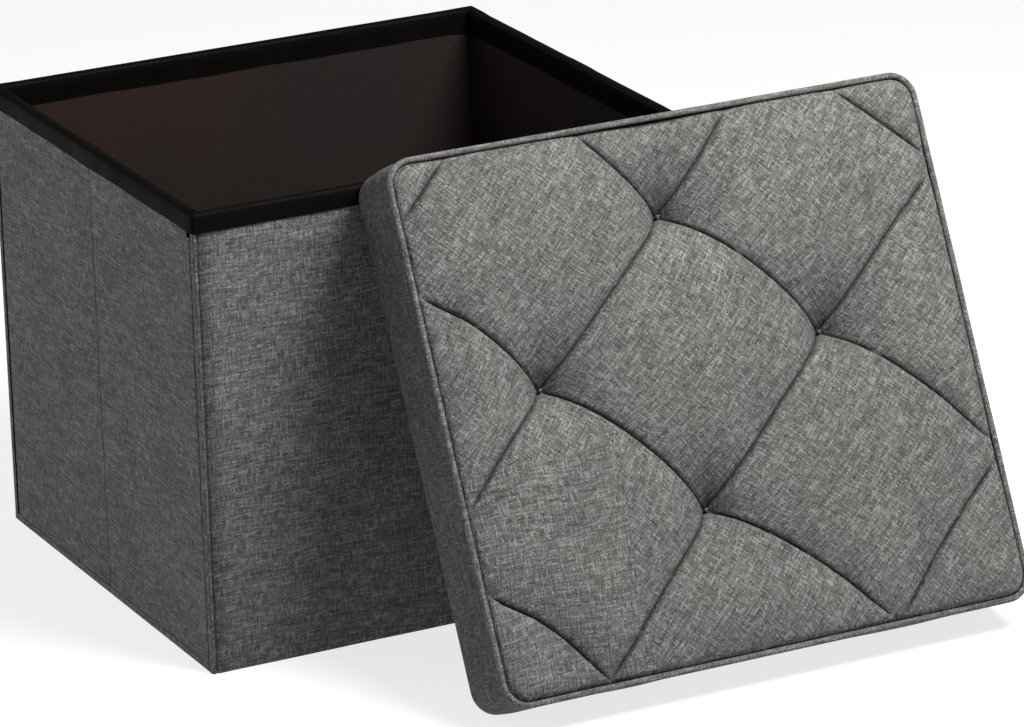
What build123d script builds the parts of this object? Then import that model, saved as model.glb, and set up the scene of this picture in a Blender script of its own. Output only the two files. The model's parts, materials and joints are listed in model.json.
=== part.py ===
from build123d import *
import os
from math import cos, radians, sin, tan

# A folding storage ottoman: a box of fabric-covered boards and a separate tufted lid.
# Millimetres. The box stands on the floor plane, centred on the origin, its front towards -Y.
# The lid is off the box. It stands on its lower edge in front and leans on the front rim.

# ---- driving dimensions -------------------------------------------------------------------

box_length = 384.0         # X, along the front, over the linen
box_depth = 352.0          # Y, front to back, over the linen
box_height = 330.0         # Z, floor to the top of the rim

board_thickness = 4.5      # wall board
linen_thickness = 1.2      # outer cover, with its backing
lining_thickness = 0.8     # black non-woven inside
wall_thickness = linen_thickness + board_thickness + lining_thickness

rim_proud = 1.8            # binding stands out of the linen by this
rim_inside = 1.0           # and out of the lining by this
rim_top = 1.2              # over the wall's top edge
rim_outer_drop = 14.0      # how far it comes down outside
rim_inner_drop = 18.0      # and inside
rim_corner_radius = 3.0
linen_corner_radius = 1.0

base_height = 5.0          # base under the walls
base_skin = 0.7            # non-woven under the base board
base_board_thickness = base_height - base_skin - lining_thickness

running_gap = 0.5          # between pieces that move past each other
seam_strip_reach = 2.2     # corner seam strip, from the linen's face inwards
seam_strip_proud = 0.5

lid_overhang = 10.0        # lid past the box's linen on each side
lid_corner_radius = 18.0
lid_lean = 26.0            # degrees from upright
lid_shift = 118.5          # lid's left edge, from the box's left side
lid_floor_gap = 0.2
lid_rim_gap = 0.4

skirt_height = 18.0        # from the skirt's lower edge to the lid board
hem_thickness = 0.8        # band turned in under the skirt rails
rail_thickness = 5.0
rail_inner_radius = 4.5
lid_board_thickness = 5.0
foam_thickness = 36.0
foam_edge_radius = 10.0
welt_radius = 2.2
welt_rise = 5.4            # welt's centre above the start of the foam's rounded edge
welt_inset = 0.1           # welt's centre inside the lid's outline
fabric_clearance = 0.1     # between the welt and the fabrics sewn to it

tuft_points = ((-117.0, 19.0), (99.0, 22.0), (-16.0, -82.0), (-2.0, 120.0))  # on the lid's plane
tie_radius = 0.75
tie_hole_radius = 1.1
knot_radius = 2.5
knot_height = 0.8
anchor_radius = 8.0
anchor_thickness = 1.4

# ---- derived sizes ------------------------------------------------------------------------

wall_gap = rim_inside + running_gap
side_start = box_depth / 2 - wall_thickness - wall_gap
half_wall_length = side_start - running_gap / 2
half_wall_centre = running_gap / 2 + half_wall_length / 2
upper_wall_start = base_height + running_gap

lid_length = box_length + 2 * lid_overhang
lid_depth = box_depth + 2 * lid_overhang
lean_cos = cos(radians(lid_lean))
lean_sin = sin(radians(lid_lean))

os.makedirs("parts", exist_ok=True)


def write(piece, name):
    piece.part.label = name
    export_step(piece.part, f"parts/{name}.step")


# ---- walls --------------------------------------------------------------------------------
# A wall is drawn in plan: local X runs along the wall, local Y points into the box, and the
# plane's origin is at the middle of the wall's outer face, at floor level.

front_plan = Plane(origin=(0, -box_depth / 2, 0), x_dir=(1, 0, 0), z_dir=(0, 0, 1))
back_plan = Plane(origin=(0, box_depth / 2, 0), x_dir=(-1, 0, 0), z_dir=(0, 0, 1))


def side_plan(side, end):
    """side is -1 for left and 1 for right; end is -1 for the front half and 1 for the rear."""
    origin = (side * box_length / 2, end * half_wall_centre, 0)
    return Plane(origin=origin, x_dir=(0, side, 0), z_dir=(0, 0, 1))


def slab(plan, x_size, y_from, y_to, z_from, z_to):
    """A box in a wall's plan, added to the part being built."""
    with BuildSketch(plan.offset(z_from)) as outline:
        with Locations((0, (y_from + y_to) / 2)):
            Rectangle(x_size, y_to - y_from)
    extrude(outline.sketch, amount=z_to - z_from)


def wall_board(name, plan, length, bottom):
    board_inner = linen_thickness + board_thickness
    with BuildPart() as board:
        slab(plan, length - 2 * linen_thickness, linen_thickness, board_inner,
             bottom, box_height - rim_top)
    write(board, name)


def wall_cover(name, plan, length, bottom, corner_radius):
    """Linen over the outer face, turned in round both ends of the board."""
    inner = linen_thickness + board_thickness
    with BuildPart() as cover:
        with BuildSketch(plan.offset(bottom)) as outline:
            with Locations((0, inner / 2)):
                Rectangle(length, inner)
            if corner_radius > 0:
                outer_corners = outline.vertices().sort_by(Axis.Y, reverse=plan.y_dir.Y < 0)[:2]
                fillet(outer_corners, corner_radius)
            with Locations((0, linen_thickness + board_thickness / 2)):
                Rectangle(length - 2 * linen_thickness, board_thickness, mode=Mode.SUBTRACT)
        extrude(amount=box_height - rim_top - bottom)
    write(cover, name)


def wall_lining(name, plan, length, bottom):
    with BuildPart() as lining:
        slab(plan, length, wall_thickness - lining_thickness, wall_thickness,
             bottom, box_height - rim_top)
    write(lining, name)


def rim_binding(name, plan, length, end_cap):
    """A folded strip over the wall's top edge: outer leg, top and a longer inner leg."""
    inner_face = wall_thickness + rim_inside
    with BuildPart() as rim:
        slab(plan, length + 2 * end_cap, -rim_proud, inner_face,
             box_height - rim_outer_drop, box_height)
        if end_cap > 0:
            upright = rim.edges().filter_by(Axis.Z)
            outer = upright.sort_by(Axis.Y, reverse=plan.y_dir.Y < 0)[:2]
            fillet(outer, rim_corner_radius)
        slab(plan, length, wall_thickness, inner_face,
             box_height - rim_inner_drop, box_height - rim_outer_drop)
        with BuildSketch(plan.offset(box_height - rim_inner_drop)):
            with Locations((0, wall_thickness / 2)):
                Rectangle(length, wall_thickness)
        extrude(amount=rim_inner_drop - rim_top, mode=Mode.SUBTRACT)
    write(rim, name)


def make_wall(name, plan, length, bottom, end_cap=0.0, corner_radius=0.0):
    wall_board(f"{name}_board", plan, length, bottom)
    wall_cover(f"{name}_cover", plan, length, bottom, corner_radius)
    wall_lining(f"{name}_lining", plan, length, bottom)
    rim_binding(f"{name}_rim", plan, length, end_cap)


make_wall("front", front_plan, box_length, 0.0, rim_proud, linen_corner_radius)
make_wall("back", back_plan, box_length, upper_wall_start, rim_proud, linen_corner_radius)

for side_name, side in (("left", -1), ("right", 1)):
    for end_name, end in (("front", -1), ("rear", 1)):
        make_wall(f"{side_name}_{end_name}", side_plan(side, end), half_wall_length, upper_wall_start)

# ---- corner seams -------------------------------------------------------------------------
# The linen is sewn together at each upright corner, in the gap behind the front and back walls.

strip_reach = seam_strip_reach + seam_strip_proud
strip_centre = box_length / 2 + seam_strip_proud - strip_reach / 2
strip_height = box_height - rim_inner_drop - upper_wall_start

for wall_name, plan in (("front", front_plan), ("back", back_plan)):
    for side_name, side in (("left", -1), ("right", 1)):
        along_wall = side * plan.x_dir.X * strip_centre
        with BuildPart() as seam:
            with BuildSketch(plan.offset(upper_wall_start)):
                with Locations((along_wall, wall_thickness + rim_inside / 2)):
                    Rectangle(strip_reach, rim_inside)
            extrude(amount=strip_height)
        write(seam, f"{wall_name}_{side_name}_seam")

# ---- base ---------------------------------------------------------------------------------
# The base is joined to the front wall. Its other three edges are wrapped in linen.

base_front = -box_depth / 2 + wall_thickness
base_board_length = box_length - 2 * linen_thickness
base_board_rear = box_depth / 2 - linen_thickness


def base_sheet(name, z_from, z_to):
    with BuildPart() as sheet:
        slab(Plane.XY, base_board_length, base_front, base_board_rear, z_from, z_to)
    write(sheet, name)


base_sheet("base_underside", 0.0, base_skin)
base_sheet("base_board", base_skin, base_skin + base_board_thickness)
base_sheet("base_lining", base_skin + base_board_thickness, base_height)

with BuildPart() as base_edge:
    slab(Plane.XY, box_length, base_front, box_depth / 2, 0.0, base_height)
    rear_corners = base_edge.edges().filter_by(Axis.Z).sort_by(Axis.Y)[-2:]
    fillet(rear_corners, linen_corner_radius)
    with BuildSketch(Plane.XY):
        with Locations((0, (base_front + base_board_rear) / 2)):
            Rectangle(base_board_length, base_board_rear - base_front)
    extrude(amount=base_height, mode=Mode.SUBTRACT)
write(base_edge, "base_edge_band")

# ---- lid ----------------------------------------------------------------------------------
# The lid is drawn on its own leaning plane: local X along the front, local Y up its slope,
# local Z out of the tufted face. The plane lies on the skirt's lower edge, at its centre.

front_rim_face = -box_depth / 2 - rim_proud
lean_run = tan(radians(lid_lean)) * (box_height - lid_floor_gap) + lid_rim_gap / lean_cos
foot_y = front_rim_face - lean_run
lid_origin = (
    -box_length / 2 + lid_shift + lid_length / 2,
    foot_y + lid_depth / 2 * lean_sin,
    lid_floor_gap + lid_depth / 2 * lean_cos,
)
lid_plan = Plane(origin=lid_origin, x_dir=(1, 0, 0), z_dir=(0, -lean_cos, lean_sin))
lid_axis = Axis(lid_origin, lid_plan.z_dir)

inner_length = lid_length - 2 * linen_thickness
inner_depth = lid_depth - 2 * linen_thickness
inner_radius = lid_corner_radius - linen_thickness
rail_corner = rail_thickness + rail_inner_radius
cavity_length = inner_length - 2 * rail_thickness
cavity_depth = inner_depth - 2 * rail_thickness

board_bottom = skirt_height
foam_bottom = board_bottom + lid_board_thickness
foam_top = foam_bottom + foam_thickness
foam_edge_start = foam_top - foam_edge_radius
welt_height = foam_edge_start + welt_rise
band_top = welt_height - welt_radius - fabric_clearance
cover_start = welt_height + welt_radius + fabric_clearance
anchor_bottom = board_bottom - anchor_thickness
lining_top = anchor_bottom - knot_height


def rounded_block(z_from, z_to, length, depth, radius, mode=Mode.ADD):
    with BuildSketch(lid_plan.offset(z_from)) as outline:
        RectangleRounded(length, depth, radius)
    extrude(outline.sketch, amount=z_to - z_from, mode=mode)


def tie_holes(z_from, z_to):
    with BuildSketch(lid_plan.offset(z_from)) as holes:
        with Locations(*tuft_points):
            Circle(tie_hole_radius)
    extrude(holes.sketch, amount=z_to - z_from, mode=Mode.SUBTRACT)


def rail_ring():
    """The frame under the lid's edge, as one sketch: rounded outside, tighter inside."""
    RectangleRounded(inner_length, inner_depth, inner_radius)
    RectangleRounded(cavity_length, cavity_depth, rail_inner_radius, mode=Mode.SUBTRACT)


def rail_piece(name, centre, length, depth):
    """The part of the ring inside a rectangle, as one rail or corner block."""
    with BuildPart() as rail:
        with BuildSketch(lid_plan.offset(hem_thickness)):
            rail_ring()
            with Locations(centre):
                Rectangle(length, depth, mode=Mode.INTERSECT)
        extrude(amount=skirt_height - hem_thickness)
    write(rail, name)


rail_x = inner_length / 2 - rail_thickness / 2
rail_y = inner_depth / 2 - rail_thickness / 2
block_x = inner_length / 2 - rail_corner / 2
block_y = inner_depth / 2 - rail_corner / 2
for end_name, end in (("front", -1), ("rear", 1)):
    rail_piece(f"lid_{end_name}_rail", (0, end * rail_y),
               inner_length - 2 * rail_corner, rail_thickness)
for side_name, side in (("left", -1), ("right", 1)):
    rail_piece(f"lid_{side_name}_rail", (side * rail_x, 0),
               rail_thickness, inner_depth - 2 * rail_corner)
    for end_name, end in (("front", -1), ("rear", 1)):
        rail_piece(f"lid_{end_name}_{side_name}_block", (side * block_x, end * block_y),
                   rail_corner, rail_corner)

with BuildPart() as lid_board:
    rounded_block(board_bottom, foam_bottom, inner_length, inner_depth, inner_radius)
    tie_holes(board_bottom, foam_bottom)
write(lid_board, "lid_board")

with BuildPart() as lid_foam:
    rounded_block(foam_bottom, foam_top, inner_length, inner_depth, inner_radius)
    foam_top_face = lid_foam.faces().sort_by(lid_axis)[-1]
    fillet(foam_top_face.edges(), foam_edge_radius)
    tie_holes(foam_bottom, foam_top)
write(lid_foam, "lid_foam")

with BuildPart() as lid_top_cover:
    rounded_block(foam_bottom, foam_top + linen_thickness, lid_length, lid_depth, lid_corner_radius)
    cover_top_face = lid_top_cover.faces().sort_by(lid_axis)[-1]
    fillet(cover_top_face.edges(), foam_edge_radius + linen_thickness)
    with BuildPart(mode=Mode.PRIVATE) as foam_shape:
        rounded_block(foam_bottom, foam_top, inner_length, inner_depth, inner_radius)
        foam_shape_top = foam_shape.faces().sort_by(lid_axis)[-1]
        fillet(foam_shape_top.edges(), foam_edge_radius)
    add(foam_shape.part, mode=Mode.SUBTRACT)
    rounded_block(foam_bottom, cover_start, lid_length, lid_depth, lid_corner_radius, Mode.SUBTRACT)
    tie_holes(foam_top, foam_top + linen_thickness)
write(lid_top_cover, "lid_top_cover")

# The band is one strip round the side, turned in under the rails.
with BuildPart() as lid_band:
    rounded_block(0.0, band_top, lid_length, lid_depth, lid_corner_radius)
    rounded_block(hem_thickness, band_top, inner_length, inner_depth, inner_radius, Mode.SUBTRACT)
    rounded_block(0.0, hem_thickness, cavity_length, cavity_depth, rail_inner_radius, Mode.SUBTRACT)
write(lid_band, "lid_band")

# The welt is a fabric-covered cord in the seam between band and top cover.
with BuildPart() as lid_welt:
    with BuildSketch(lid_plan.offset(welt_height), mode=Mode.PRIVATE) as welt_outline:
        RectangleRounded(lid_length - 2 * welt_inset, lid_depth - 2 * welt_inset,
                         lid_corner_radius - welt_inset)
    welt_path = welt_outline.sketch.faces()[0].outer_wire()
    with BuildSketch(Plane(origin=welt_path @ 0, z_dir=welt_path % 0)):
        Circle(welt_radius)
    sweep(path=welt_path)
write(lid_welt, "lid_welt")

# The lining is a shallow tray: flat under the board and down the rails' inner faces.
with BuildPart() as lid_lining:
    rounded_block(hem_thickness, lining_top, cavity_length, cavity_depth, rail_inner_radius)
    rounded_block(hem_thickness, lining_top - lining_thickness,
                  cavity_length - 2 * lining_thickness, cavity_depth - 2 * lining_thickness,
                  rail_inner_radius - lining_thickness, Mode.SUBTRACT)
write(lid_lining, "lid_lining")

with BuildPart() as tuft_anchors:
    with BuildSketch(lid_plan.offset(anchor_bottom)):
        with Locations(*tuft_points):
            Circle(anchor_radius)
            Circle(tie_hole_radius, mode=Mode.SUBTRACT)
    extrude(amount=anchor_thickness)
write(tuft_anchors, "tuft_anchors")

# Each tie is a waxed thread with a knot on the cover and one under its anchor disc.
with BuildPart() as tuft_ties:
    tie_top = foam_top + linen_thickness
    tie_parts = (
        (lining_top, knot_height, knot_radius),
        (anchor_bottom, tie_top - anchor_bottom, tie_radius),
        (tie_top, knot_height, knot_radius),
    )
    for height, length, radius in tie_parts:
        with BuildSketch(lid_plan.offset(height)):
            with Locations(*tuft_points):
                Circle(radius)
        extrude(amount=length)
write(tuft_ties, "tuft_ties")
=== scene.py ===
import json
from math import cos, exp, pi, radians, sin

import bmesh
import bpy
from mathutils import Matrix, Quaternion, Vector, noise


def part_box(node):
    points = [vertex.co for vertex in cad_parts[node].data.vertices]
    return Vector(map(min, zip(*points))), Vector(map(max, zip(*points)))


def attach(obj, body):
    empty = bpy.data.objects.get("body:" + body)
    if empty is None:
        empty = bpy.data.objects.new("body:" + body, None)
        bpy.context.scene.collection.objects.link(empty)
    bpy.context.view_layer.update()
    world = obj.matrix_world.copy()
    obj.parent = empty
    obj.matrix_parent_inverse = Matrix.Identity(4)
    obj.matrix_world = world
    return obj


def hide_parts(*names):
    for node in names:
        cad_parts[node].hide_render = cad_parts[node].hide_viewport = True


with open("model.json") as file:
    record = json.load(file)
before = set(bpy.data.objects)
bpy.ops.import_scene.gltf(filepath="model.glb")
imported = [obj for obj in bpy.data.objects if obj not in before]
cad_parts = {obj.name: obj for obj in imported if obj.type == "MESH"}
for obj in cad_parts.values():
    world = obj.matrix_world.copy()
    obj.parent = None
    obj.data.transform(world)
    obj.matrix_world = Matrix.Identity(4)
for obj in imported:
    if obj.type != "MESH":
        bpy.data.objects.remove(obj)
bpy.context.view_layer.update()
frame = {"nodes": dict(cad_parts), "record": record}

bodies = frame["record"]["behaviour"]["bodies"]
body_of_node = {node: body for body, nodes in bodies.items() for node in nodes}

# ---- camera -------------------------------------------------------------------------------
# A long lens from the left and a little above, rolled slightly clockwise, seen from behind it.

aim = Vector((0.0259, -0.2083, 0.1948))
distance = 4.0913
azimuth, elevation, roll = radians(-26.466), radians(19.307), radians(-1.621)
back = Vector((sin(azimuth) * cos(elevation), -cos(azimuth) * cos(elevation), sin(elevation)))

lens = bpy.data.cameras.new("camera")
lens.sensor_width = 36.0
lens.lens = 210.94
camera = bpy.data.objects.new("camera", lens)
bpy.context.scene.collection.objects.link(camera)
camera.rotation_mode = "QUATERNION"
camera.rotation_quaternion = (-back).to_track_quat("-Z", "Y") @ Quaternion((0, 0, 1), roll)
camera.location = aim + back * distance
bpy.context.scene.camera = camera

# ---- floor and light ----------------------------------------------------------------------
# A sheet of opal acrylic, lit from below so that shadows on it stay faint, under one round
# softbox high in front and a little to the right. A weak, wide light stands low behind on the
# left. The room is pale and dim.


def linear(hex_colour):
    """An sRGB hex colour as the linear colour that a shader takes."""
    parts = [int(hex_colour[i:i + 2], 16) / 255 for i in (0, 2, 4)]
    return (*[c / 12.92 if c <= 0.04045 else ((c + 0.055) / 1.055) ** 2.4 for c in parts], 1.0)


def add(tree, kind, inputs=None, **settings):
    """A node with its settings, and its inputs as values or as links from other nodes."""
    made = tree.nodes.new(kind)
    for name, value in settings.items():
        setattr(made, name, value)
    for socket, source in (inputs or {}).items():
        if isinstance(source, bpy.types.NodeSocket):
            tree.links.new(source, made.inputs[socket])
        else:
            made.inputs[socket].default_value = source
    return made


def new_material(name):
    """A material with its tree and its Principled shader."""
    material = bpy.data.materials.new(name)
    material.use_nodes = True
    return material, material.node_tree, material.node_tree.nodes["Principled BSDF"]


# Opal acrylic, cast and backlit: an even white with a barely visible cloudiness.
opal, tree, shader = new_material("backlit_opal_acrylic")
where = add(tree, "ShaderNodeTexCoord").outputs["Object"]
cloud = add(tree, "ShaderNodeTexNoise", {"Vector": where, "Scale": 3.0, "Detail": 2.0})
tint = add(tree, "ShaderNodeMix", {0: cloud.outputs[0], 6: linear("8a8a8a"), 7: linear("8e8e8d")},
           data_type="RGBA")
tree.links.new(tint.outputs[2], shader.inputs["Base Color"])
shader.inputs["Roughness"].default_value = 0.7
shader.inputs["Specular IOR Level"].default_value = 0.1
shader.inputs["Emission Color"].default_value = linear("ffffff")
shader.inputs["Emission Strength"].default_value = 0.76

bpy.ops.object.select_all(action="DESELECT")
bpy.ops.mesh.primitive_plane_add(size=14.0, location=(0, 0, 0))
floor = bpy.context.object
floor.name = "floor"
floor.data.materials.append(opal)

world = bpy.data.worlds.new("studio")
bpy.context.scene.world = world
world.use_nodes = True
world.node_tree.nodes["Background"].inputs["Color"].default_value = linear("ffffff")
world.node_tree.nodes["Background"].inputs["Strength"].default_value = 0.24
bpy.context.scene.view_settings.view_transform = "Standard"


def round_light(name, way, distance, size, energy):
    """A round area light that the camera doesn't see, turned to the middle of the scene."""
    data = bpy.data.lights.new(name, "AREA")
    data.shape = "DISK"
    data.size = size
    data.energy = energy
    light = bpy.data.objects.new(name, data)
    bpy.context.scene.collection.objects.link(light)
    way = way.normalized()
    light.location = Vector((0.05, -0.15, 0.2)) + way * distance
    light.rotation_mode = "QUATERNION"
    light.rotation_quaternion = way.to_track_quat("Z", "Y")
    light.visible_camera = False


round_light("softbox", Vector((0.27, -0.48, 0.83)), 1.5, size=0.75, energy=58.0)
round_light("side_light", Vector((-0.80, 0.45, 0.40)), 1.8, size=1.2, energy=9.0)

# ---- wall covers --------------------------------------------------------------------------
# Each wall board has a cover of linen-look polyester with a thin backing, stretched over its
# face, turned round both ends and glued. The front and back covers are sewn at their ends,
# which leaves a roll at each upright corner and a narrow groove beside it.

# Linen-look polyester, plain weave of slubby two-tone yarn, taken as 1.2 mm, a little coarser than
# life. Short light and dark dashes run both ways, and the surface is matt with a little bloom. A
# vertex attribute paints shade into the cloth's colour: where it is high the colour is darkened, most
# in creases, grooves and dips, and all over the strip round the lid.
THREAD = 0.0012
linen, tree, shader = new_material("linen_look_polyester_weave")
laid = add(tree, "ShaderNodeUVMap", uv_map="cloth").outputs[0]
count = add(tree, "ShaderNodeVectorMath", {0: laid, "Scale": 1 / THREAD}, operation="SCALE")
drift = add(tree, "ShaderNodeTexNoise", {"Vector": count.outputs[0], "Scale": 0.16, "Detail": 2.0})
centred = add(tree, "ShaderNodeVectorMath", {0: drift.outputs["Color"], 1: (0.5, 0.5, 0.5)},
              operation="SUBTRACT")
sway = add(tree, "ShaderNodeVectorMath", {0: centred.outputs[0], "Scale": 1.1}, operation="SCALE")
yarn = add(tree, "ShaderNodeVectorMath", {0: count.outputs[0], 1: sway.outputs[0]}, operation="ADD")
warp_run = add(tree, "ShaderNodeVectorMath", {0: yarn.outputs[0], 1: (1.0, 0.13, 1.0)},
               operation="MULTIPLY")
weft_run = add(tree, "ShaderNodeVectorMath", {0: yarn.outputs[0], 1: (0.13, 1.0, 1.0)},
               operation="MULTIPLY")
weft_shift = add(tree, "ShaderNodeVectorMath", {0: weft_run.outputs[0], 1: (37.0, 11.0, 5.0)},
                 operation="ADD")
warp = add(tree, "ShaderNodeTexNoise",
           {"Vector": warp_run.outputs[0], "Scale": 0.9, "Detail": 1.5, "Roughness": 0.6})
weft = add(tree, "ShaderNodeTexNoise",
           {"Vector": weft_shift.outputs[0], "Scale": 0.9, "Detail": 1.5, "Roughness": 0.6})
over = add(tree, "ShaderNodeTexNoise", {"Vector": yarn.outputs[0], "Scale": 0.75, "Detail": 1.0})
over_cut = add(tree, "ShaderNodeMapRange", {0: over.outputs[0], 1: 0.46, 2: 0.54})
threads = add(tree, "ShaderNodeMix", {0: over_cut.outputs[0], 2: warp.outputs[0],
                                      3: weft.outputs[0]})
fleck = add(tree, "ShaderNodeTexNoise", {"Vector": count.outputs[0], "Scale": 1.9, "Detail": 1.0})
fleck_add = add(tree, "ShaderNodeMath", {0: fleck.outputs[0], 1: 0.30, 2: -0.15},
                operation="MULTIPLY_ADD")
tone = add(tree, "ShaderNodeMath", {0: threads.outputs[0], 1: fleck_add.outputs[0]}, operation="ADD")
spread = add(tree, "ShaderNodeMapRange", {0: tone.outputs[0], 1: 0.30, 2: 0.72})
shades = add(tree, "ShaderNodeValToRGB", {0: spread.outputs[0]})
ramp = shades.color_ramp
ramp.elements[0].color = linear("2c2c2a")
ramp.elements[1].color = linear("727270")
ramp.elements.new(0.5).color = linear("4b4b49")
patch = add(tree, "ShaderNodeTexNoise", {"Vector": laid, "Scale": 22.0, "Detail": 2.0})
patch_gain = add(tree, "ShaderNodeMapRange", {0: patch.outputs[0], 1: 0.3, 2: 0.7, 3: 0.90, 4: 1.08})
# Painted shade: the vertex attribute below darkens the base colour, down to 0.22 of it where the
# attribute is 1.
painted_shade = add(tree, "ShaderNodeAttribute", attribute_name="painted_shade").outputs["Fac"]
painted_shade_gain = add(tree, "ShaderNodeMapRange", {0: painted_shade, 1: 0.0, 2: 1.0, 3: 1.0, 4: 0.22})
gain = add(tree, "ShaderNodeMath", {0: patch_gain.outputs[0], 1: painted_shade_gain.outputs[0]},
           operation="MULTIPLY")
dyed_and_painted_shade = add(tree, "ShaderNodeVectorMath", {0: shades.outputs[0], "Scale": gain.outputs[0]},
           operation="SCALE")
relief = add(tree, "ShaderNodeBump", {"Height": tone.outputs[0], "Strength": 0.55,
                                      "Distance": 0.0007})
tree.links.new(dyed_and_painted_shade.outputs[0], shader.inputs["Base Color"])
tree.links.new(relief.outputs[0], shader.inputs["Normal"])
shader.inputs["Roughness"].default_value = 0.92
shader.inputs["Specular IOR Level"].default_value = 0.15
shader.inputs["Sheen Weight"].default_value = 0.03
shader.inputs["Sheen Roughness"].default_value = 0.5

# Every wall is modelled as a front wall, X along it and Y into the box, then turned to its side.
wall_turns = {"front": 0, "right_front": 90, "right_rear": 90,
              "back": 180, "left_front": -90, "left_rear": -90}
corner_walls = ("front", "back")
NEAR = 1e-5


def local_box(node, turn):
    """A wall node's lowest and highest corners, turned back to where the front wall faces."""
    unturn = Matrix.Rotation(radians(-turn), 3, "Z")
    ends = [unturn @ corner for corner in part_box(node)]
    return Vector(map(min, *ends)), Vector(map(max, *ends))


def block(name, low, high):
    """A block between two corners, left in edit mode."""
    bpy.ops.object.select_all(action="DESELECT")
    bpy.ops.mesh.primitive_cube_add(size=1, location=(low + high) / 2)
    piece = bpy.context.object
    piece.name = piece.data.name = name
    piece.scale = high - low
    bpy.ops.object.transform_apply(location=True, rotation=True, scale=True)
    bpy.ops.object.mode_set(mode="EDIT")
    return piece


def pick(piece, kind, test):
    """Selects the vertices, edges or faces for which the test, given their middle, is true."""
    bpy.ops.mesh.select_mode(type=kind)
    bpy.ops.mesh.select_all(action="DESELECT")
    shape = bmesh.from_edit_mesh(piece.data)
    if kind == "VERT":
        for v in shape.verts:
            v.select_set(test(v.co))
    elif kind == "EDGE":
        for e in shape.edges:
            a, b = e.verts[0].co, e.verts[1].co
            if test((a + b) / 2, b - a):
                e.select_set(True)
    else:
        for f in shape.faces:
            if test(f.calc_center_median(), f.normal):
                f.select_set(True)
    shape.select_flush_mode()
    bmesh.update_edit_mesh(piece.data)


def cut(axis, places):
    """Cuts the whole piece across an axis at each place."""
    across = Vector([float(i == axis) for i in range(3)])
    for place in places:
        bpy.ops.mesh.select_all(action="SELECT")
        bpy.ops.mesh.bisect(plane_co=across * place, plane_no=across)


def steps(start, end, pitch):
    """Places between two ends, evenly spaced at about a pitch."""
    number = max(1, round(abs(end - start) / pitch))
    return [start + (end - start) * i / number for i in range(1, number)]


def apply(piece, kind, **settings):
    """Adds a modifier and applies it."""
    bpy.context.view_layer.objects.active = piece
    modifier = piece.modifiers.new(kind.lower(), kind)
    for name, value in settings.items():
        setattr(modifier, name, value)
    bpy.ops.object.modifier_apply(modifier=modifier.name)


def thicken(piece, thickness):
    """Gives an open skin its thickness, inwards."""
    apply(piece, "SOLIDIFY", thickness=thickness, offset=-1.0, use_even_offset=True)


def lay_cloth(piece, weave_turn=None):
    """Lays the weave on a piece in metres, face by face, along the axis that it faces most."""
    layer = piece.data.uv_layers.get("cloth") or piece.data.uv_layers.new(name="cloth")
    points = piece.data.vertices
    for face in piece.data.polygons:
        n = face.normal
        facing = max(range(3), key=lambda i: abs(n[i]))
        u_axis, v_axis = ((1, 2), (0, 2), (0, 1))[facing]
        turn = weave_turn(face.center) if weave_turn and facing == 2 else 0.0
        c, s = cos(turn), sin(turn)
        for corner in face.loop_indices:
            p = points[piece.data.loops[corner].vertex_index].co
            u, v = p[u_axis] + 0.31 * facing, p[v_axis]
            layer.data[corner].uv = (c * u + s * v, c * v - s * u)


def finish_piece(piece, place, material, slot, node, *more_nodes, smooth=40):
    """Puts a modelled piece in its place, and has it stand for its CAD node."""
    if bpy.context.object and bpy.context.object.mode == "EDIT":
        bpy.ops.object.mode_set(mode="OBJECT")
    bpy.ops.object.select_all(action="DESELECT")
    piece.select_set(True)
    bpy.context.view_layer.objects.active = piece
    bpy.ops.object.shade_smooth_by_angle(angle=radians(smooth))
    piece.data.transform(place)
    piece.data.materials.clear()
    piece.data.materials.append(material)
    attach(piece, body_of_node[node])
    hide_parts(node, *more_nodes)
    return piece


def ripple(point, size, depth):
    """A smooth unevenness: its size is the distance between bumps, and its depth their height."""
    return depth * noise.noise(point / size)


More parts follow.
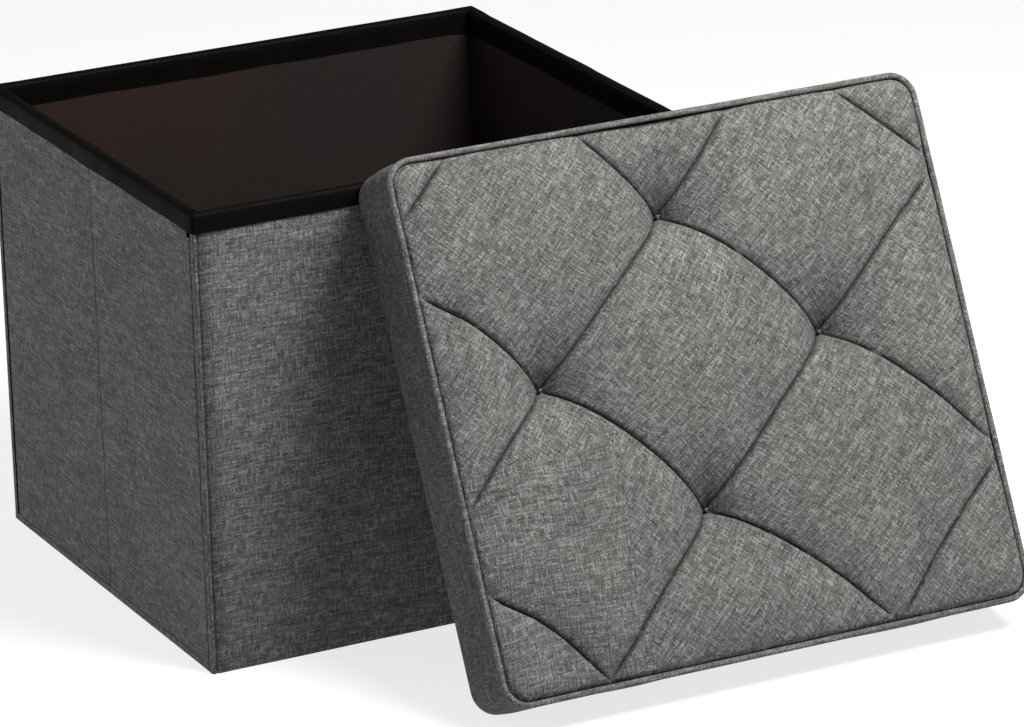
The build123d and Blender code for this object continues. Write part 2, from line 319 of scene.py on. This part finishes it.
groove = (0.0017, 0.0029, 0.0046)  # its near side, bottom and far side, from the wall's end
groove_depth = 0.0010
roll_height = 0.0030
for wall, turn in wall_turns.items():
    low, high = local_box(f"{wall}_cover", turn)
    cover = block(f"{wall}_linen", low, high)
    pick(cover, "FACE", lambda mid, n: n.y > 0.5 or abs(n.z) > 0.5)
    bpy.ops.mesh.delete(type="FACE")
    is_corner = wall in corner_walls
    if is_corner:
        for side, end in ((1, low.x), (-1, high.x)):
            cut(0, [end + side * place for place in groove])
            pick(cover, "VERT", lambda p: abs(p.x - end - side * groove[1]) < NEAR)
            bpy.ops.transform.translate(value=(0, groove_depth, 0))
        cut(1, [low.y + roll_height])
    pick(cover, "EDGE", lambda mid, d: abs(mid.y - low.y) < NEAR and abs(d.z) > 0.1
         and min(abs(mid.x - low.x), abs(mid.x - high.x)) < NEAR)
    bpy.ops.mesh.bevel(offset=0.0015 if is_corner else 0.0013, segments=4)
    cut(0, steps(low.x, high.x, 0.016))
    cut(2, steps(low.z, high.z, 0.016))
    bpy.ops.object.mode_set(mode="OBJECT")
    for v in cover.data.vertices:
        edge = min(v.co.x - low.x, high.x - v.co.x)
        if edge > 0.008:
            v.co.y += abs(ripple(v.co + Vector((turn, 0, 0)), 0.05, 0.0007))
        elif is_corner and v.co.y > low.y + 0.0016 and edge < 0.0005:
            roll_out = sin(pi * min(1.0, (v.co.y - low.y) / (high.y - low.y)))
            v.co.x += 0.0004 * roll_out * (-1 if v.co.x < 0 else 1)
    # Painted shade in the corner grooves of the front and back covers: their colour is darkened most
    # along each groove's bottom and half as much on its sides.
    painted_shade_mark = cover.data.attributes.new("painted_shade", "FLOAT", "POINT")
    for v in cover.data.vertices:
        edge = min(v.co.x - low.x, high.x - v.co.x)
        in_groove = groove[0] - 0.0001 < edge < groove[2] + 0.0001
        if is_corner and v.co.y < low.y + 2 * groove_depth and in_groove:
            painted_shade_mark.data[v.index].value = 0.9 if abs(edge - groove[1]) < NEAR else 0.45
    thicken(cover, 0.0010)
    lay_cloth(cover)
    finish_piece(cover, Matrix.Rotation(radians(turn), 4, "Z"), linen, "grey_linen",
                 f"{wall}_cover")

# ---- corner seams -------------------------------------------------------------------------
# The covers are sewn to each other at the four upright corners. The seam lies a little below
# the cloth on both sides of it, in the gap between two walls.

for wall in corner_walls:
    for side in ("left", "right"):
        node = f"{wall}_{side}_seam"
        low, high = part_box(node)
        sunk = 0.0013
        if side == "left":
            low.x += sunk
        else:
            high.x -= sunk
        seam = block(f"{node}_cloth", low, high)
        pick(seam, "EDGE", lambda mid, d: abs(d.z) > 0.1)
        bpy.ops.mesh.bevel(offset=0.0004, segments=2)
        cut(2, steps(low.z, high.z, 0.02))
        bpy.ops.object.mode_set(mode="OBJECT")
        lay_cloth(seam)
        finish_piece(seam, Matrix.Identity(4), linen, "grey_linen", node)

# ---- rim bindings -------------------------------------------------------------------------
# A strip of black leather-look polyurethane folded over the top of each wall and sewn through:
# a rounded crest, an outer leg of 14 mm and an inner one of 18 mm.

# Polyurethane-coated cloth, embossed with a fine grain of about 1 mm: a deep black with a faint
# satin sheen, slightly uneven from rubbing.
binding, tree, shader = new_material("black_polyurethane_leathercloth")
where = add(tree, "ShaderNodeTexCoord").outputs["Object"]
pores = add(tree, "ShaderNodeTexVoronoi", {"Vector": where, "Scale": 900.0})
crease = add(tree, "ShaderNodeTexNoise", {"Vector": where, "Scale": 160.0, "Detail": 4.0})
grain = add(tree, "ShaderNodeMath", {0: pores.outputs["Distance"], 1: crease.outputs[0]},
            operation="MULTIPLY")
rubbed = add(tree, "ShaderNodeTexNoise", {"Vector": where, "Scale": 35.0, "Detail": 3.0})
blacks = add(tree, "ShaderNodeMix", {0: rubbed.outputs[0], 6: linear("030302"), 7: linear("070605")},
             data_type="RGBA")
gloss = add(tree, "ShaderNodeMapRange", {0: rubbed.outputs[0], 1: 0.3, 2: 0.7, 3: 0.56, 4: 0.70})
relief = add(tree, "ShaderNodeBump", {"Height": grain.outputs[0], "Strength": 0.25,
                                      "Distance": 0.0004})
tree.links.new(blacks.outputs[2], shader.inputs["Base Color"])
tree.links.new(gloss.outputs[0], shader.inputs["Roughness"])
tree.links.new(relief.outputs[0], shader.inputs["Normal"])
shader.inputs["Specular IOR Level"].default_value = 0.03

leg_difference = 0.004
outer_leg = 0.014
slimming = 0.0007  # its legs stay about this much inside the frame's rim, so folded walls clear
for wall, turn in wall_turns.items():
    low, high = local_box(f"{wall}_rim", turn)
    is_corner = wall in corner_walls
    rim = block(f"{wall}_binding", low, high)
    cut(2, [low.z + leg_difference])
    pick(rim, "FACE", lambda mid, n: n.z < -0.5 or (mid.z < low.z + leg_difference and n.y < 0.5)
         or (abs(n.x) > 0.5 and not is_corner))
    bpy.ops.mesh.delete(type="FACE")
    if is_corner:
        pick(rim, "EDGE", lambda mid, d: abs(d.z) > 0.01 and mid.y < low.y + NEAR)
        bpy.ops.mesh.bevel(offset=0.0034, segments=5)
    pick(rim, "EDGE", lambda mid, d: mid.z > high.z - NEAR and (abs(d.x) > 0.05 or is_corner))
    bpy.ops.mesh.bevel(offset=0.0027, segments=4)
    cut(0, steps(low.x, high.x, 0.011))
    cut(2, [high.z - 0.006, high.z - 0.010])
    bpy.ops.object.mode_set(mode="OBJECT")
    for v in rim.data.vertices:
        inside = min(v.co.x - low.x, high.x - v.co.x) > 0.012
        if inside:
            seed = v.co + Vector((0, 0, turn))
            swell = 0.0003 * sin(pi * min(1.0, (high.z - v.co.z) / outer_leg)) - slimming
            swell += ripple(seed, 0.03, 0.0004)
            v.co.y += swell * (1 if v.co.y > (low.y + high.y) / 2 else -1)
            if v.co.z < high.z - 0.012:
                v.co.z += ripple(seed, 0.04, 0.0007)
    thicken(rim, 0.0009)
    finish_piece(rim, Matrix.Rotation(radians(turn), 4, "Z"), binding, "black_binding",
                 f"{wall}_rim")

# ---- linings ------------------------------------------------------------------------------
# Black non-woven polypropylene, glued to the inner face of each wall and over the base. It lies
# nearly flat, with shallow swells.

# Spun-bonded polypropylene: a dull brown-black felt of short fibres, pressed with a grid of
# small dots 2.5 mm apart, which catch a little light.
nonwoven, tree, shader = new_material("black_spunbond_polypropylene")
laid = add(tree, "ShaderNodeUVMap", uv_map="cloth").outputs[0]
dots = add(tree, "ShaderNodeTexVoronoi", {"Vector": laid, "Scale": 400.0, "Randomness": 0.08})
pressed = add(tree, "ShaderNodeMapRange", {0: dots.outputs["Distance"], 1: 0.15, 2: 0.4})
fibre = add(tree, "ShaderNodeTexNoise", {"Vector": laid, "Scale": 500.0, "Detail": 4.0})
swirl = add(tree, "ShaderNodeTexNoise", {"Vector": laid, "Scale": 5.0, "Detail": 1.5})
warm = add(tree, "ShaderNodeMapRange", {0: swirl.outputs[0], 1: 0.38, 2: 0.62})
base_tone = add(tree, "ShaderNodeMix", {0: warm.outputs[0], 6: linear("181513"), 7: linear("201513")},
                data_type="RGBA")
fibre_tone = add(tree, "ShaderNodeMapRange", {0: fibre.outputs[0], 1: 0.3, 2: 0.7, 3: 0.8, 4: 1.2})
felt = add(tree, "ShaderNodeVectorMath", {0: base_tone.outputs[2], "Scale": fibre_tone.outputs[0]},
           operation="SCALE")
height = add(tree, "ShaderNodeMath", {0: pressed.outputs[0], 1: fibre.outputs[0]}, operation="ADD")
relief = add(tree, "ShaderNodeBump", {"Height": height.outputs[0], "Strength": 0.3,
                                      "Distance": 0.0003})
tree.links.new(felt.outputs[0], shader.inputs["Base Color"])
tree.links.new(relief.outputs[0], shader.inputs["Normal"])
shader.inputs["Roughness"].default_value = 0.95
shader.inputs["Specular IOR Level"].default_value = 0.15


def lining_sheet(name, node, low, high, out_axis, out_sign, place):
    """A glued lining. It swells a little to the side that shows, and lies flat at its edges."""
    sheet = block(name, low, high)
    for axis in range(3):
        if axis != out_axis:
            cut(axis, steps(low[axis], high[axis], 0.018))
    bpy.ops.object.mode_set(mode="OBJECT")
    shown = high[out_axis] if out_sign > 0 else low[out_axis]
    for v in sheet.data.vertices:
        edge = min(min(v.co[i] - low[i], high[i] - v.co[i]) for i in range(3) if i != out_axis)
        if abs(v.co[out_axis] - shown) < NEAR:
            lift = min(1.0, max(0.0, edge - 0.022) / 0.03)
            v.co[out_axis] += out_sign * lift * abs(ripple(v.co + Vector((3, 7, 1)), 0.07, 0.0011))
    lay_cloth(sheet)
    finish_piece(sheet, place, nonwoven, "black_lining", node)
    return sheet


for wall, turn in wall_turns.items():
    low, high = local_box(f"{wall}_lining", turn)
    lining_sheet(f"{wall}_nonwoven", f"{wall}_lining", low, high, 1, 1,
                 Matrix.Rotation(radians(turn), 4, "Z"))

# ---- base ---------------------------------------------------------------------------------
# The base board is lined on both faces with the same non-woven, and its three free edges are
# covered with a strip of the linen.

for node, out_sign in (("base_lining", 1), ("base_underside", -1)):
    low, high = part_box(node)
    lining = block(f"{node}_nonwoven", low, high)
    cut(0, steps(low.x, high.x, 0.02))
    cut(1, steps(low.y, high.y, 0.02))
    bpy.ops.object.mode_set(mode="OBJECT")
    for v in lining.data.vertices:
        edge = min(v.co.x - low.x, high.x - v.co.x, v.co.y - low.y, high.y - v.co.y)
        if out_sign > 0 and v.co.z > high.z - NEAR and edge > 0.015:
            v.co.z += abs(ripple(v.co, 0.06, 0.0008))
    lay_cloth(lining)
    finish_piece(lining, Matrix.Identity(4), nonwoven, "black_lining", node)

low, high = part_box("base_edge_band")
edge_band = block("base_edge_linen", low, high)
pick(edge_band, "FACE", lambda mid, n: abs(n.z) > 0.5 or n.y < -0.5)
bpy.ops.mesh.delete(type="FACE")
pick(edge_band, "EDGE", lambda mid, d: abs(d.z) > 0.001 and mid.y > high.y - NEAR)
bpy.ops.mesh.bevel(offset=0.0012, segments=3)
cut(0, steps(low.x, high.x, 0.03))
cut(1, steps(low.y, high.y, 0.03))
bpy.ops.object.mode_set(mode="OBJECT")
thicken(edge_band, 0.0011)
lay_cloth(edge_band)
finish_piece(edge_band, Matrix.Identity(4), linen, "grey_linen", "base_edge_band")

# ---- boards -------------------------------------------------------------------------------
# The wall boards, base board, lid board and the lid's rails and corner blocks are cut from
# medium-density fibreboard. All of them are inside the covers. The tufts' discs are nylon.

# Raw fibreboard: fine pressed fibres, tan, with darker specks, and matt.
fibreboard, tree, shader = new_material("raw_medium_density_fibreboard")
where = add(tree, "ShaderNodeTexCoord").outputs["Object"]
felted = add(tree, "ShaderNodeTexNoise", {"Vector": where, "Scale": 700.0, "Detail": 5.0})
cloud = add(tree, "ShaderNodeTexNoise", {"Vector": where, "Scale": 30.0, "Detail": 2.0})
both = add(tree, "ShaderNodeMix", {0: 0.35, 2: felted.outputs[0], 3: cloud.outputs[0]})
tans = add(tree, "ShaderNodeMix", {0: both.outputs[0], 6: linear("8a6a48"), 7: linear("b8946a")},
           data_type="RGBA")
relief = add(tree, "ShaderNodeBump", {"Height": felted.outputs[0], "Strength": 0.2,
                                      "Distance": 0.0002})
tree.links.new(tans.outputs[2], shader.inputs["Base Color"])
tree.links.new(relief.outputs[0], shader.inputs["Normal"])
shader.inputs["Roughness"].default_value = 0.85

# Nylon, moulded in discs: milky white, slightly glossy, with faint flow marks.
nylon, tree, shader = new_material("moulded_nylon")
where = add(tree, "ShaderNodeTexCoord").outputs["Object"]
flow = add(tree, "ShaderNodeTexNoise", {"Vector": where, "Scale": 120.0, "Detail": 2.0})
milky = add(tree, "ShaderNodeMix", {0: flow.outputs[0], 6: linear("d6d3c8"), 7: linear("e6e3da")},
            data_type="RGBA")
tree.links.new(milky.outputs[2], shader.inputs["Base Color"])
shader.inputs["Roughness"].default_value = 0.4


def finish_node(name, material):
    """A CAD node that stays, with the finish of the real part."""
    slots = frame["nodes"][name].data.materials
    slots.clear()
    slots.append(material)


for name in frame["nodes"]:
    if name.endswith(("_board", "_rail", "_block")):
        finish_node(name, fibreboard)
finish_node("tuft_anchors", nylon)

# ---- lid pad ------------------------------------------------------------------------------
# A 36 mm foam pad on the lid board under one linen cover. The cover is pleated along diagonal
# seams and pulled down at four points, so that it swells into diamond-shaped pillows.

lean = radians(26)
lid_turn = Matrix(((1, 0, 0), (0, sin(lean), -cos(lean)), (0, cos(lean), sin(lean))))
lid_out = lid_turn @ Vector((0, 0, 1))
board_low, board_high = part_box("lid_board")
board_middle = 0.0205
lid_origin = (board_low + board_high) / 2 - lid_out * board_middle
lid_place = Matrix.Translation(lid_origin) @ lid_turn.to_4x4()
lid_low, lid_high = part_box("lid_band")
half_x = (lid_high.x - lid_low.x) / 2
half_y = half_x - 0.016
corner_radius = 0.018

pad_bottom, pad_shoulder, pad_crown = 0.0232, 0.030, 0.0590
cover_floor = 0.026  # before it is creased, the cover's top side is above this everywhere
tuft_left, tuft_right = Vector((-0.117, 0.019)), Vector((0.099, 0.022))
tuft_low, tuft_high = Vector((-0.016, -0.082)), Vector((-0.002, 0.120))
tufts = (tuft_left, tuft_right, tuft_low, tuft_high)
corner_meet = Vector((-0.122, -0.181))
# Each seam runs from its first point to its second, with the pillow that folds over it on its
# right-hand side.
seams = (
    (tuft_left, tuft_high), (tuft_high, Vector((0.060, 0.186))),
    (Vector((-0.202, -0.056)), tuft_left), (corner_meet, tuft_low),
    (tuft_low, tuft_right), (tuft_right, Vector((0.202, 0.117))),
    (Vector((0.096, -0.186)), Vector((0.202, -0.086))),
    (Vector((-0.202, 0.142)), Vector((-0.154, 0.186))),
    (Vector((-0.202, 0.098)), tuft_left), (tuft_left, tuft_low), (tuft_low, Vector((0.100, -0.186))),
    (Vector((-0.062, 0.186)), tuft_high), (tuft_high, tuft_right),
    (tuft_right, Vector((0.202, -0.079))),
    (Vector((0.136, 0.186)), Vector((0.202, 0.124))),
    (Vector((-0.202, -0.105)), corner_meet),
)


def from_seam(p, seam):
    """How far a point is to the left of a seam's line, and how far past the seam's ends."""
    a, b = seam
    run = (b - a).normalized()
    along, aside = (p - a).dot(run), run.x * (p.y - a.y) - run.y * (p.x - a.x)
    past = max(0.0, -along, along - (b - a).length)
    return aside, past


def edge_distance(p):
    """How far a point is inside the lid's rounded outline."""
    q = Vector((abs(p.x) - half_x + corner_radius, abs(p.y) - half_y + corner_radius))
    if q.x > 0 and q.y > 0:
        return corner_radius - q.length
    return corner_radius - max(q.x, q.y)


def seam_distance(p):
    """How far a point is from the nearest seam, counting distance past an end twice."""
    return min(abs(aside) + 2 * past for aside, past in (from_seam(p, seam) for seam in seams))


def pillow_height(p):
    """The cover's height before it swells. A dip reaches further up the lid than down it."""
    height = pad_crown
    for tuft in tufts:
        away = p - tuft
        away.y *= 0.56 if away.y > 0 else 1.15
        height -= 0.0270 * exp(-away.length / 0.022) + 0.004 * exp(-away.length / 0.006)
    height -= 0.007 * exp(-(p - corner_meet).length / 0.014)
    nearest, edge = seam_distance(p), max(0.0, edge_distance(p))
    height += 0.0075 * min(1.0, edge / 0.030) * (1 - exp(-nearest / 0.028))
    height -= 0.0016 * exp(-nearest / 0.006)
    height -= 0.0032 * exp(-edge / 0.006)
    return height


inset = 0.0016
pad = block("lid_padded_cover", Vector((inset - half_x, inset - half_y, pad_bottom)),
            Vector((half_x - inset, half_y - inset, pad_crown)))
pick(pad, "EDGE", lambda mid, d: abs(d.z) > 0.01)
bpy.ops.mesh.bevel(offset=corner_radius - inset, segments=8)
pick(pad, "EDGE", lambda mid, d: mid.z > pad_crown - NEAR)
bpy.ops.mesh.bevel(offset=0.0045, segments=3)
bpy.ops.object.mode_set(mode="OBJECT")
apply(pad, "REMESH", mode="VOXEL", voxel_size=0.0045)
held = pad.vertex_groups.new(name="held")
for v in pad.data.vertices:
    p = v.co.to_2d()
    if v.co.z > pad_shoulder:
        share = (v.co.z - pad_shoulder) / (pad_crown - pad_shoulder)
        v.co.z = pad_shoulder + share * (pillow_height(p) - pad_shoulder)
    to_tuft = min((p - tuft).length for tuft in tufts)
    grip = 0.0
    if v.co.z < pad_shoulder + 0.004 or edge_distance(p) < 0.004 or to_tuft < 0.006:
        grip = 1.0
    elif seam_distance(p) < 0.004:
        grip = 0.85
    if grip:
        held.add([v.index], grip, "REPLACE")


def swell(piece, pressure, frames, most):
    """Blows up a closed cloth skin, held where its group says, by no more than a distance."""
    before = [v.co.copy() for v in piece.data.vertices]
    cloth = piece.modifiers.new("cloth", "CLOTH")
    setup = cloth.settings
    setup.quality = 6
    setup.mass = 0.25
    setup.tension_stiffness = setup.compression_stiffness = 12.0
    setup.shear_stiffness = 6.0
    setup.bending_stiffness = 0.4
    setup.vertex_group_mass = "held"
    setup.use_pressure = True
    setup.uniform_pressure_force = pressure
    setup.effector_weights.gravity = 0.0
    cloth.point_cache.frame_start, cloth.point_cache.frame_end = 1, frames
    for number in range(1, frames + 1):
        bpy.context.scene.frame_set(number)
    bpy.context.view_layer.objects.active = piece
    bpy.ops.object.modifier_apply(modifier=cloth.name)
    bpy.context.scene.frame_set(1)
    for v, old in zip(piece.data.vertices, before):
        move = v.co - old
        if move.length > most:
            v.co = old + move * (most / move.length)


swell(pad, 4.0, 20, 0.0035)
apply(pad, "SUBSURF", levels=1, render_levels=1)

bpy.ops.object.select_all(action="DESELECT")
pad.select_set(True)
bpy.context.view_layer.objects.active = pad
bpy.ops.object.mode_set(mode="EDIT")
lip_place, groove_side = 0.0034, 0.0013
for a, b in seams:
    run = (b - a).normalized()
    side = Vector((-run.y, run.x, 0))
    for offset in (-lip_place, -groove_side, 0.0, groove_side, lip_place):
        pick(pad, "FACE", lambda mid, n: mid.z > cover_floor and n.z > 0.06
             and abs(from_seam(mid.to_2d(), (a, b))[0]) < 0.0065
             and from_seam(mid.to_2d(), (a, b))[1] < 0.001)
        bpy.ops.mesh.bisect(plane_co=a.to_3d() + side * offset, plane_no=side)
bpy.ops.object.mode_set(mode="OBJECT")

# Along each seam the cloth drops into a thin groove. The side above it steps down to the groove, and
# the pillow below it ends in a small lip. Painted shade darkens the cloth's colour along each
# groove's line and round the bottoms of the dips at the tufts.
painted_shade_mark = pad.data.attributes.new("painted_shade", "FLOAT", "POINT")
for v in pad.data.vertices:
    if v.co.z < cover_floor:
        continue
    p = v.co.to_2d()
    deepest, mark = 0.0, 0.0
    for seam in seams:
        aside, past = from_seam(p, seam)
        if abs(aside) > 0.03 or past > 0.004:
            continue
        fade = max(0.0, 1 - past / 0.004) * min(1.0, max(0.0, edge_distance(p) - 0.003) / 0.010)
        drop = 0.0028 * exp(-(aside / 0.0012) ** 2)
        if aside > -NEAR / 10:
            drop += 0.0018 * exp(-max(0.0, aside) / 0.006)
        else:
            drop -= 0.0010 * exp(-((aside + lip_place) / 0.0024) ** 2)
        if abs(drop * fade) > abs(deepest):
            deepest = drop * fade
        # Painted shade along the line of the groove.
        mark = max(mark, fade * exp(-(aside / 0.0008) ** 2))
    # Painted shade round each tuft, reaching further up the lid than down it.
    for tuft in tufts:
        away = p - tuft
        away.y *= 0.62 if away.y > 0 else 2.5
        mark = max(mark, 0.45 * exp(-away.length / 0.016))
    v.co.z = max(v.co.z - deepest, pad_bottom + 0.0013)
    painted_shade_mark.data[v.index].value = mark


def weave_turn(mid):
    """The cover's threads run along the seams, but in its lower left part they are straight."""
    return 0.0 if mid.x < -0.09 and mid.y < -0.03 else radians(43)


lay_cloth(pad, weave_turn)

# The pillow below each seam leans over it, so the seam bows up the lid between its ends. The
# seams that run down to the right bow the most, and the short ones at the top edge not at all.
long_seams = [(a, b) for a, b in seams if (b - a).length > 0.11]
for v in pad.data.vertices:
    p = v.co.to_2d()
    if v.co.z < cover_floor or edge_distance(p) < 0.002:
        continue
    bow = 0.0
    for a, b in long_seams:
        aside, past = from_seam(p, (a, b))
        along = (p - a).dot((b - a).normalized()) / (b - a).length
        if past == 0.0:
            most = 0.0065 if b.y < a.y else 0.0035
            bow += most * sin(pi * along) * exp(-(aside / 0.028) ** 2)
    v.co.y += bow * min(1.0, max(0.0, edge_distance(p) - 0.002) / 0.03)
finish_piece(pad, lid_place, linen, "grey_linen", "lid_top_cover", "lid_foam", smooth=60)

# ---- lid band -----------------------------------------------------------------------------
# One strip of the linen round the side of the lid, turned in under the rails at the bottom. Painted
# shade darkens its colour all over, so it looks darker than the top.

band_top = 0.0520
hem_turn = 0.0062
lid_band = block("lid_side_linen", Vector((-half_x, -half_y, 0)), Vector((half_x, half_y, band_top)))
pick(lid_band, "EDGE", lambda mid, d: abs(d.z) > 0.01)
bpy.ops.mesh.bevel(offset=corner_radius, segments=10)
pick(lid_band, "FACE", lambda mid, n: n.z > 0.5)
bpy.ops.mesh.delete(type="FACE")
pick(lid_band, "FACE", lambda mid, n: n.z < -0.5)
bpy.ops.mesh.inset(thickness=hem_turn)
bpy.ops.mesh.delete(type="FACE")
pick(lid_band, "EDGE", lambda mid, d: mid.z < NEAR and edge_distance(mid.to_2d()) < NEAR * 20)
bpy.ops.mesh.bevel(offset=0.0016, segments=3)
cut(0, steps(-half_x + corner_radius, half_x - corner_radius, 0.012))
cut(1, steps(-half_y + corner_radius, half_y - corner_radius, 0.012))
cut(2, steps(0.002, band_top, 0.006))
bpy.ops.object.mode_set(mode="OBJECT")
for v in lid_band.data.vertices:
    if edge_distance(v.co.to_2d()) < 0.001:
        rise = min(1.0, max(0.0, v.co.z) / band_top)
        shares = (v.co.x / half_x, v.co.y / half_y)
        outward = Vector([max(-1, min(1, share)) ** 15 for share in shares] + [0])
        if outward.length > 0.01:
            bulge = sin(pi * rise) * (0.0010 + ripple(v.co, 0.05, 0.0012))
            v.co += outward.normalized() * bulge
# Painted shade over the whole band.
for mark in lid_band.data.attributes.new("painted_shade", "FLOAT", "POINT").data:
    mark.value = 0.36
thicken(lid_band, 0.0010)
lay_cloth(lid_band)
finish_piece(lid_band, lid_place, linen, "grey_linen", "lid_band")

# ---- lid welt -----------------------------------------------------------------------------
# A cord covered with the linen, sewn into the seam between the band and the top cover.

welt_height, welt_radius = 0.0548, 0.0021
bpy.ops.object.select_all(action="DESELECT")
bpy.ops.mesh.primitive_plane_add(size=1, location=(0, 0, welt_height))
welt = bpy.context.object
welt.name = welt.data.name = "lid_welt_linen"
welt.scale = (2 * half_x - 0.0012, 2 * half_y - 0.0012, 1)
bpy.ops.object.transform_apply(location=True, rotation=True, scale=True)
bpy.ops.object.mode_set(mode="EDIT")
bpy.ops.mesh.select_all(action="SELECT")
bpy.ops.mesh.bevel(affect="VERTICES", offset=corner_radius - 0.0006, segments=10)
cut(0, steps(-half_x + corner_radius, half_x - corner_radius, 0.008))
cut(1, steps(-half_y + corner_radius, half_y - corner_radius, 0.008))
pick(welt, "FACE", lambda mid, n: True)
bpy.ops.mesh.delete(type="ONLY_FACE")
pick(welt, "EDGE", lambda mid, d: edge_distance(mid.to_2d()) > 0.0025)
bpy.ops.mesh.delete(type="EDGE")
bpy.ops.object.mode_set(mode="OBJECT")
for v in welt.data.vertices:
    v.co.z += ripple(v.co, 0.03, 0.0005)
bpy.ops.object.convert(target="CURVE")
welt.data.bevel_depth = welt_radius
welt.data.bevel_resolution = 3
bpy.ops.object.convert(target="MESH")
welt = bpy.context.object
lay_cloth(welt)
finish_piece(welt, lid_place, linen, "grey_linen", "lid_welt", smooth=80)

# ---- lid lining ---------------------------------------------------------------------------
# The same non-woven as a shallow tray under the lid: flat over the board, and down the inner
# faces of the rails.

tray_x, tray_y = half_x - 0.0062, half_y - 0.0062
tray_low, tray_high = 0.0009, 0.0158
tray = block("lid_lining_nonwoven", Vector((-tray_x, -tray_y, tray_low)),
             Vector((tray_x, tray_y, tray_high)))
pick(tray, "EDGE", lambda mid, d: abs(d.z) > 0.01)
bpy.ops.mesh.bevel(offset=0.0055, segments=4)
pick(tray, "FACE", lambda mid, n: n.z < -0.5)
bpy.ops.mesh.delete(type="FACE")
pick(tray, "EDGE", lambda mid, d: mid.z > tray_high - NEAR)
bpy.ops.mesh.bevel(offset=0.0012, segments=2)
cut(0, steps(-tray_x, tray_x, 0.02))
cut(1, steps(-tray_y, tray_y, 0.02))
bpy.ops.object.mode_set(mode="OBJECT")
for v in tray.data.vertices:
    edge = min(tray_x - abs(v.co.x), tray_y - abs(v.co.y))
    if v.co.z > tray_high - NEAR and edge > 0.01:
        v.co.z -= abs(ripple(v.co, 0.07, 0.0010))
thicken(tray, 0.0007)
lay_cloth(tray)
finish_piece(tray, lid_place, nonwoven, "black_lining", "lid_lining")

# ---- tuft ties ----------------------------------------------------------------------------
# Waxed grey thread through the pad and board at each tuft, knotted on the cover at the bottom
# of the dimple and again under a nylon disc.

# Twisted, waxed polyester thread: dark grey with a slight shine along the strands.
thread, tree, shader = new_material("waxed_polyester_thread")
where = add(tree, "ShaderNodeTexCoord").outputs["Object"]
strands = add(tree, "ShaderNodeTexWave", {"Vector": where, "Scale": 500.0, "Distortion": 1.5},
              bands_direction="DIAGONAL")
greys = add(tree, "ShaderNodeMix", {0: strands.outputs[0], 6: linear("2b2b2a"), 7: linear("50504d")},
            data_type="RGBA")
relief = add(tree, "ShaderNodeBump", {"Height": strands.outputs[0], "Strength": 0.4,
                                      "Distance": 0.0002})
tree.links.new(greys.outputs[2], shader.inputs["Base Color"])
tree.links.new(relief.outputs[0], shader.inputs["Normal"])
shader.inputs["Roughness"].default_value = 0.6

dimple, disc_under = 0.0330, 0.0158
knot_radius, thread_radius = 0.0025, 0.00075
tie_parts = []
for tuft in tufts:
    for start, end, radius in ((disc_under - 0.0008, disc_under, knot_radius),
                               (disc_under, dimple, thread_radius)):
        bpy.ops.object.select_all(action="DESELECT")
        bpy.ops.mesh.primitive_cylinder_add(vertices=12, radius=radius, depth=end - start,
                                            location=(tuft.x, tuft.y, (start + end) / 2))
        tie_parts.append(bpy.context.object)
    for turn in (0, 60, 120):
        bpy.ops.object.select_all(action="DESELECT")
        bpy.ops.mesh.primitive_torus_add(major_radius=0.0013, minor_radius=0.0005, major_segments=16,
                                         minor_segments=8, location=(tuft.x, tuft.y, dimple),
                                         rotation=(radians(55), 0, radians(turn)))
        tie_parts.append(bpy.context.object)
bpy.ops.object.select_all(action="DESELECT")
for part in tie_parts:
    part.select_set(True)
bpy.context.view_layer.objects.active = tie_parts[0]
bpy.ops.object.join()
ties = bpy.context.object
bpy.ops.object.transform_apply(location=True, rotation=True, scale=True)
ties.name = ties.data.name = "tuft_ties_thread"
finish_piece(ties, lid_place, thread, "grey_thread", "tuft_ties")
